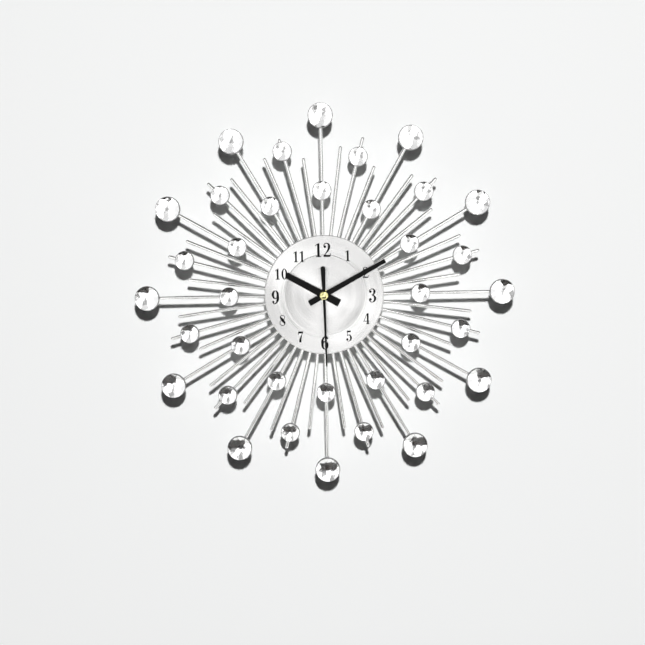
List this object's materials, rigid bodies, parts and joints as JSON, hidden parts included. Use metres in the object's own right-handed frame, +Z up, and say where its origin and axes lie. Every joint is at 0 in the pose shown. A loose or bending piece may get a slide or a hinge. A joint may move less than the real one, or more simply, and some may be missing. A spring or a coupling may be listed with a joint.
{
  "type": "sunburst wall clock",
  "caption": "Round wall clock with a small spun metal dial in a sunburst of steel rods that carry cut crystals, driven by a battery quartz movement that hangs from a slotted tab.",
  "frame": {"origin": "where the hands' axis meets the wall, in the middle of the movement's flat back", "axes": "+Y into the wall, along the hands' axis; the dial faces -Y; +Z up through 12 o'clock; +X towards 3 o'clock"},
  "size_m": [0.381, 0.031, 0.381],
  "materials": {
    "polished_steel": "bright nickel-plated steel rods and cups, fine polish",
    "spun_aluminium": "spun aluminium, lightly brushed round the centre, with a printed black hour band",
    "clear_crystal": "clear cut crystal with a silvered back",
    "satin_black": "satin black paint",
    "brass": "polished brass",
    "black_rubber": "matt black rubber",
    "case_plastic": "fine-textured black moulding",
    "cover_plastic": "fine-textured dark grey moulding",
    "gear_plastic": "off-white acetal moulding",
    "rotor_magnet": "dark sintered magnet",
    "stator_iron": "bright annealed iron plate",
    "copper_winding": "enamelled copper winding on a bobbin",
    "board_green": "green lacquered circuit board",
    "cell_wrap": "plain printed metal wrap, bright ends",
    "nickel_plate": "nickel-plated spring steel"
  },
  "bodies": {
    "clock": {"sunburst_frame": "polished_steel", "dial": "spun_aluminium", "rubber_washer": "black_rubber", "fixing_nut": "brass", "movement_case": "case_plastic", "movement_back_cover": "cover_plastic", "stator": "stator_iron", "coil": "copper_winding", "circuit_board": "board_green", "battery_contact_positive": "nickel_plate", "battery_contact_negative": "nickel_plate", "large_crystal_01": "clear_crystal", "large_crystal_02": "clear_crystal", "large_crystal_03": "clear_crystal", "large_crystal_04": "clear_crystal", "large_crystal_05": "clear_crystal", "large_crystal_06": "clear_crystal", "large_crystal_07": "clear_crystal", "large_crystal_08": "clear_crystal", "large_crystal_09": "clear_crystal", "large_crystal_10": "clear_crystal", "large_crystal_11": "clear_crystal", "large_crystal_12": "clear_crystal", "inner_crystal_01": "clear_crystal", "inner_crystal_02": "clear_crystal", "inner_crystal_03": "clear_crystal", "inner_crystal_04": "clear_crystal", "inner_crystal_05": "clear_crystal", "inner_crystal_06": "clear_crystal", "inner_crystal_07": "clear_crystal", "inner_crystal_08": "clear_crystal", "inner_crystal_09": "clear_crystal", "inner_crystal_10": "clear_crystal", "inner_crystal_11": "clear_crystal", "inner_crystal_12": "clear_crystal", "outer_crystal_01": "clear_crystal", "outer_crystal_02": "clear_crystal", "outer_crystal_03": "clear_crystal", "outer_crystal_04": "clear_crystal", "outer_crystal_05": "clear_crystal", "outer_crystal_06": "clear_crystal", "outer_crystal_07": "clear_crystal", "outer_crystal_08": "clear_crystal", "outer_crystal_09": "clear_crystal", "outer_crystal_10": "clear_crystal", "outer_crystal_11": "clear_crystal", "outer_crystal_12": "clear_crystal"},
    "seconds": {"seconds_wheel": "gear_plastic", "second_hand": "satin_black", "second_hand_cap": "brass"},
    "minutes": {"centre_wheel": "gear_plastic", "minute_hand": "satin_black"},
    "hours": {"hour_wheel": "gear_plastic", "hour_hand": "satin_black"},
    "rotor": {"rotor": "rotor_magnet"},
    "intermediate": {"intermediate_wheel": "gear_plastic"},
    "third": {"third_wheel": "gear_plastic"},
    "minute_wheel": {"minute_wheel": "gear_plastic"},
    "knob": {"setting_knob": "gear_plastic"},
    "battery": {"battery": "cell_wrap"}
  },
  "joints": [
    {"name": "seconds", "type": "hinge", "parent": "clock", "child": "seconds", "pos_m": [0, 0, 0], "axis": [0, 1, 0], "continuous": true},
    {"name": "minutes", "type": "hinge", "parent": "clock", "child": "minutes", "pos_m": [0, 0, 0], "axis": [0, 1, 0], "continuous": true},
    {"name": "hours", "type": "hinge", "parent": "clock", "child": "hours", "pos_m": [0, 0, 0], "axis": [0, 1, 0], "continuous": true},
    {"name": "rotor", "type": "hinge", "parent": "clock", "child": "rotor", "pos_m": [0.01368, 0, 0.00624], "axis": [0, 1, 0], "continuous": true},
    {"name": "intermediate", "type": "hinge", "parent": "clock", "child": "intermediate", "pos_m": [0.01008, 0, 0], "axis": [0, 1, 0], "continuous": true},
    {"name": "third", "type": "hinge", "parent": "clock", "child": "third", "pos_m": [0.00264, 0, 0.00985], "axis": [0, 1, 0], "continuous": true},
    {"name": "minute_wheel", "type": "hinge", "parent": "clock", "child": "minute_wheel", "pos_m": [-0.0075, 0, 0.0075], "axis": [0, 1, 0], "continuous": true},
    {"name": "knob", "type": "hinge", "parent": "clock", "child": "knob", "pos_m": [-0.01499, 0, 0.01499], "axis": [0, 1, 0], "continuous": true},
    {"name": "battery_slide", "type": "slide", "parent": "clock", "child": "battery", "axis": [0, 1, 0], "range_m": [0, 0.016]}
  ],
  "couplings": [
    {"joint": "intermediate", "follows": "seconds", "ratio": -6},
    {"joint": "rotor", "follows": "seconds", "ratio": 30},
    {"joint": "third", "follows": "seconds", "ratio": -0.13333},
    {"joint": "minutes", "follows": "seconds", "ratio": 0.016667},
    {"joint": "minute_wheel", "follows": "seconds", "ratio": -0.0055556},
    {"joint": "hours", "follows": "seconds", "ratio": 0.0013889},
    {"joint": "knob", "follows": "seconds", "ratio": 0.016667}
  ]
}
